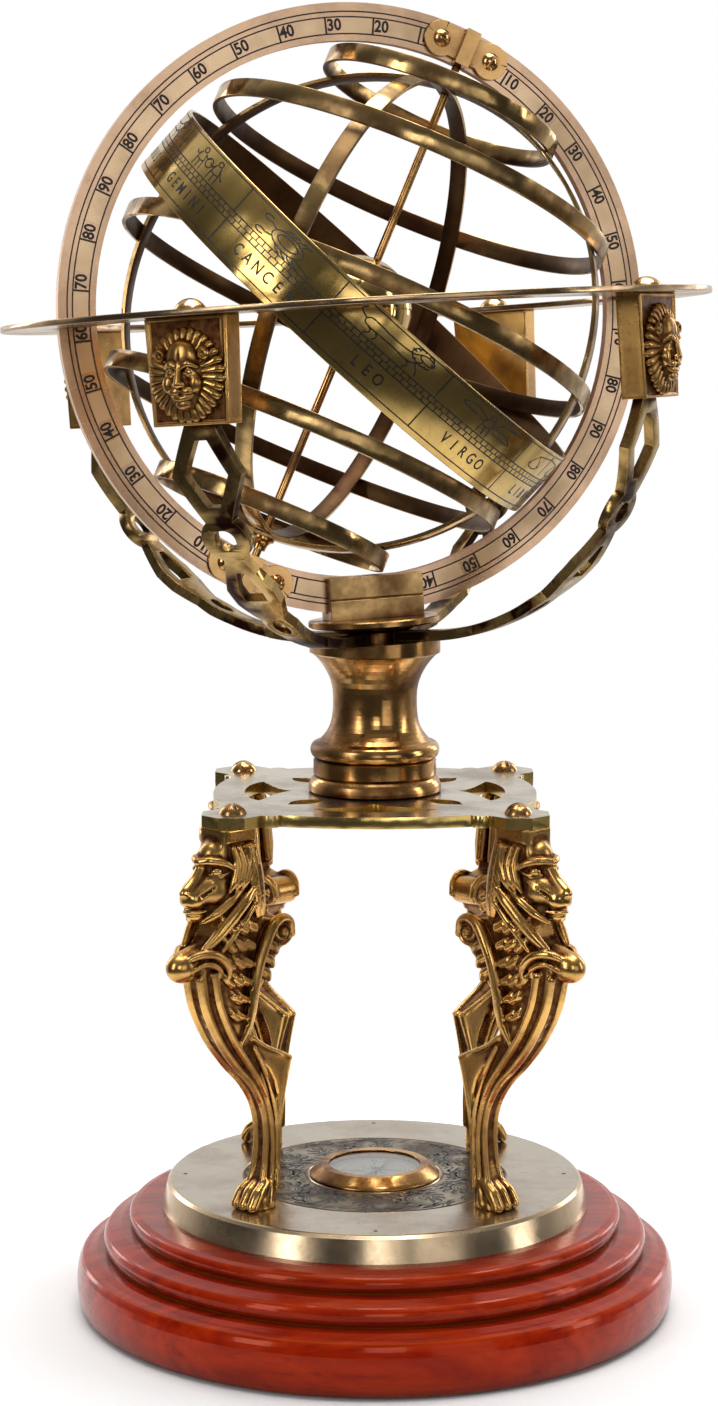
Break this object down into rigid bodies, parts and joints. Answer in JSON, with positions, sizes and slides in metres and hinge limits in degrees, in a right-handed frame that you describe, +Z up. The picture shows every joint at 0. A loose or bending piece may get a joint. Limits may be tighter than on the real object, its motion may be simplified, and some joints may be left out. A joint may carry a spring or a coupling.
{
  "type": "armillary sphere",
  "caption": "Armillary sphere: celestial rings with a zodiac band spin about a tilted polar rod in a sliding meridian ring, on a lion-leg stand with a compass.",
  "frame": {"origin": "centre of the underside of the wooden base, on the surface it stands on", "axes": "+Z up, -Y to the front (the side with the ring brackets), +X to the right seen from the front"},
  "size_m": [0.2456, 0.246, 0.4584],
  "materials": {
    "wood": "red mahogany stain under a deep gloss lacquer",
    "felt": "matte green felt",
    "disc_brass": "pale lacquered brass with blackened engraving",
    "polished_brass": "polished",
    "antique_brass": "satin brass with a brown patina",
    "cast_brass": "cast relief, high spots rubbed bright, recesses dark",
    "meridian_brass": "satin, pale, with blackened engraving",
    "zodiac_brass": "satin, golden, with blackened engraving",
    "steel": "plain turned steel",
    "needle_steel": "blued steel, one end red",
    "dial": "printed card",
    "glass": "clear"
  },
  "bodies": {
    "stand": {"base_felt": "felt", "wooden_base": "wood", "base_plate": "disc_brass", "compass_bezel": "polished_brass", "compass_dial": "dial", "compass_pivot": "steel", "compass_spacer": "polished_brass", "compass_glass": "glass", "leg_front_right": "cast_brass", "leg_back_right": "cast_brass", "leg_back_left": "cast_brass", "leg_front_left": "cast_brass", "leg_foot_screws": "steel", "leg_top_screws": "polished_brass", "table_plate": "antique_brass", "column": "antique_brass", "tie_bolt": "steel", "arm_front_right": "antique_brass", "arm_back_right": "antique_brass", "arm_back_left": "antique_brass", "arm_front_left": "antique_brass", "lion_block_front_right": "cast_brass", "lion_block_back_right": "cast_brass", "lion_block_back_left": "cast_brass", "lion_block_front_left": "cast_brass", "clamp_disc": "antique_brass", "saddle": "antique_brass", "horizon_ring": "meridian_brass", "horizon_screws": "polished_brass"},
    "meridian": {"meridian_ring": "meridian_brass", "north_bracket": "polished_brass", "south_bracket": "polished_brass", "bracket_screws": "polished_brass"},
    "sphere": {"polar_rod": "meridian_brass", "pole_collars": "antique_brass", "globe": "polished_brass", "solstitial_colure": "antique_brass", "equinoctial_colure": "antique_brass", "equator_ring": "antique_brass", "north_tropic_ring": "antique_brass", "south_tropic_ring": "antique_brass", "north_polar_ring": "antique_brass", "south_polar_ring": "antique_brass", "zodiac_band": "zodiac_brass"},
    "needle": {"compass_needle": "needle_steel"}
  },
  "joints": [
    {"name": "meridian_slide", "type": "hinge", "parent": "stand", "child": "meridian", "pos_m": [-0.00662, 0.00281, 0.35318], "axis": [0.2822, -0.9585, 0.0397], "range_deg": [-50, 7]},
    {"name": "sphere_spin", "type": "hinge", "parent": "meridian", "child": "sphere", "pos_m": [-0.00662, 0.00281, 0.35318], "axis": [0.3789, 0.1494, 0.9133], "continuous": true},
    {"name": "needle_swing", "type": "hinge", "parent": "stand", "child": "needle", "pos_m": [0, 0, 0.0475], "axis": [0, 0, 1], "continuous": true}
  ]
}
